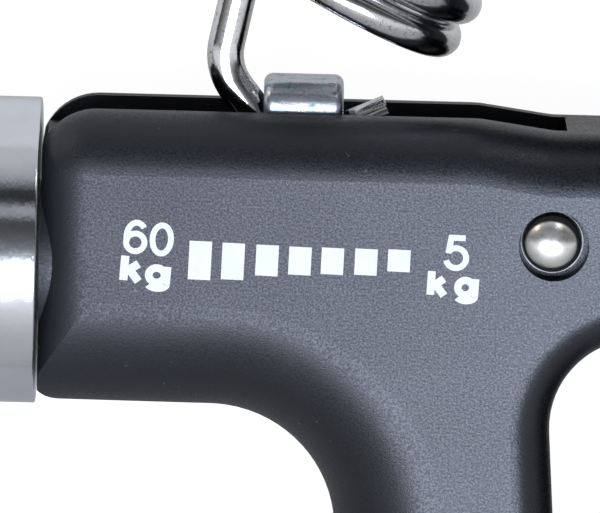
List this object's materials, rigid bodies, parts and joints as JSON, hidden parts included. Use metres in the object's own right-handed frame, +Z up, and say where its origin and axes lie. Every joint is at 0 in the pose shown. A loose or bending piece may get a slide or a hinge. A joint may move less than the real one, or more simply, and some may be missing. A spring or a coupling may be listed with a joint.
{
  "type": "adjustable hand grip exerciser",
  "caption": "Adjustable hand grip exerciser: sprung lever handle pivoted on a fixed handle whose hollow arm holds a knob-driven screw and sliding nut that sets the coil spring's load.",
  "frame": {"origin": "centre of the overall box on its underside, the surface the grip lies on", "axes": "+X along the arm from the knob towards the pivot, +Y away from the handles, +Z up through the thickness"},
  "size_m": [0.1268, 0.1605, 0.03],
  "materials": {
    "frame_plastic": "satin spark texture",
    "lever_plastic": "satin spark texture",
    "cap_plastic": "satin",
    "disc_plastic": "satin",
    "grip_rubber": "matte with finger grooves",
    "rivet_steel": "polished dome",
    "zinc_steel": "zinc plated, slightly scratched",
    "brass": "turned",
    "nylon": "moulded",
    "knob_chrome": "polished, faint turning lines",
    "dark_steel": "blackened",
    "screw_steel": "bright zinc",
    "spring_chrome": "chrome plated wire",
    "pin_steel": "polished dome"
  },
  "bodies": {
    "frame": {"frame_body": "frame_plastic", "frame_grip": "grip_rubber", "frame_cap": "cap_plastic", "pivot_rivet": "rivet_steel", "rivet_washer": "zinc_steel", "tongue_washer_front": "nylon", "tongue_washer_back": "nylon", "thrust_washer": "nylon", "front_bush": "brass", "tail_bush": "brass"},
    "lever": {"lever_body": "lever_plastic", "lever_grip": "grip_rubber", "lever_cap": "cap_plastic", "pivot_bush": "brass", "spring_anchor_pin": "pin_steel", "pin_retainer": "dark_steel"},
    "screw": {"adjust_knob": "knob_chrome", "knob_set_screw": "dark_steel", "knob_end_disc": "disc_plastic", "lead_screw": "screw_steel", "retaining_clip": "dark_steel"},
    "nut": {"slider_nut": "zinc_steel"},
    "spring_low": {"spring_hook_lower": "spring_chrome"},
    "spring_root": {"spring_coil_lower": "spring_chrome"},
    "spring_middle": {"spring_coil_upper": "spring_chrome"},
    "spring_top": {"spring_hook_upper": "spring_chrome"}
  },
  "joints": [
    {"name": "lever_squeeze", "type": "hinge", "parent": "frame", "child": "lever", "pos_m": [0.00096, 0.0288, 0.015], "axis": [0, 0, -1], "range_deg": [0, 18], "stiffness_Nm_per_rad": 36.9, "springref_deg": -1.55},
    {"name": "knob_turn", "type": "hinge", "parent": "frame", "child": "screw", "pos_m": [-0.05576, 0.02518, 0.015], "axis": [-1, 0, 0], "range_deg": [-2760, 2760]},
    {"name": "nut_travel", "type": "slide", "parent": "frame", "child": "nut", "axis": [1, 0, 0], "range_m": [-0.0096, 0.0096]},
    {"name": "spring_swing", "type": "hinge", "parent": "nut", "child": "spring_low", "pos_m": [-0.02346, 0.0368, 0.015], "axis": [0, 0, -1], "range_deg": [0, 15.6], "deforming": ["spring_hook_lower"]},
    {"name": "spring_tilt", "type": "hinge", "parent": "spring_low", "child": "spring_root", "pos_m": [-0.02346, 0.0368, 0.015], "axis": [0, 0, 1], "range_deg": [-12, 12], "deforming": ["spring_coil_lower"]},
    {"name": "spring_stretch", "type": "slide", "parent": "spring_root", "child": "spring_middle", "axis": [0.4516, 0.8922, 0], "range_m": [0, 0.008], "deforming": ["spring_coil_upper"]},
    {"name": "spring_take_up", "type": "slide", "parent": "spring_middle", "child": "spring_top", "axis": [0.4516, 0.8922, 0], "range_m": [-0.0044, 0.0044], "deforming": ["spring_hook_upper"]}
  ],
  "couplings": [
    {"joint": "nut_travel", "follows": "knob_turn", "m_per_rad": 0.00019894},
    {"joint": "spring_swing", "follows": "lever_squeeze", "ratio": 0.845},
    {"joint": "spring_tilt", "follows": "knob_turn", "ratio": 0.0042773},
    {"joint": "spring_stretch", "follows": "lever_squeeze", "m_per_rad": 0.0248},
    {"joint": "spring_take_up", "follows": "knob_turn", "m_per_rad": -0.000088132}
  ]
}
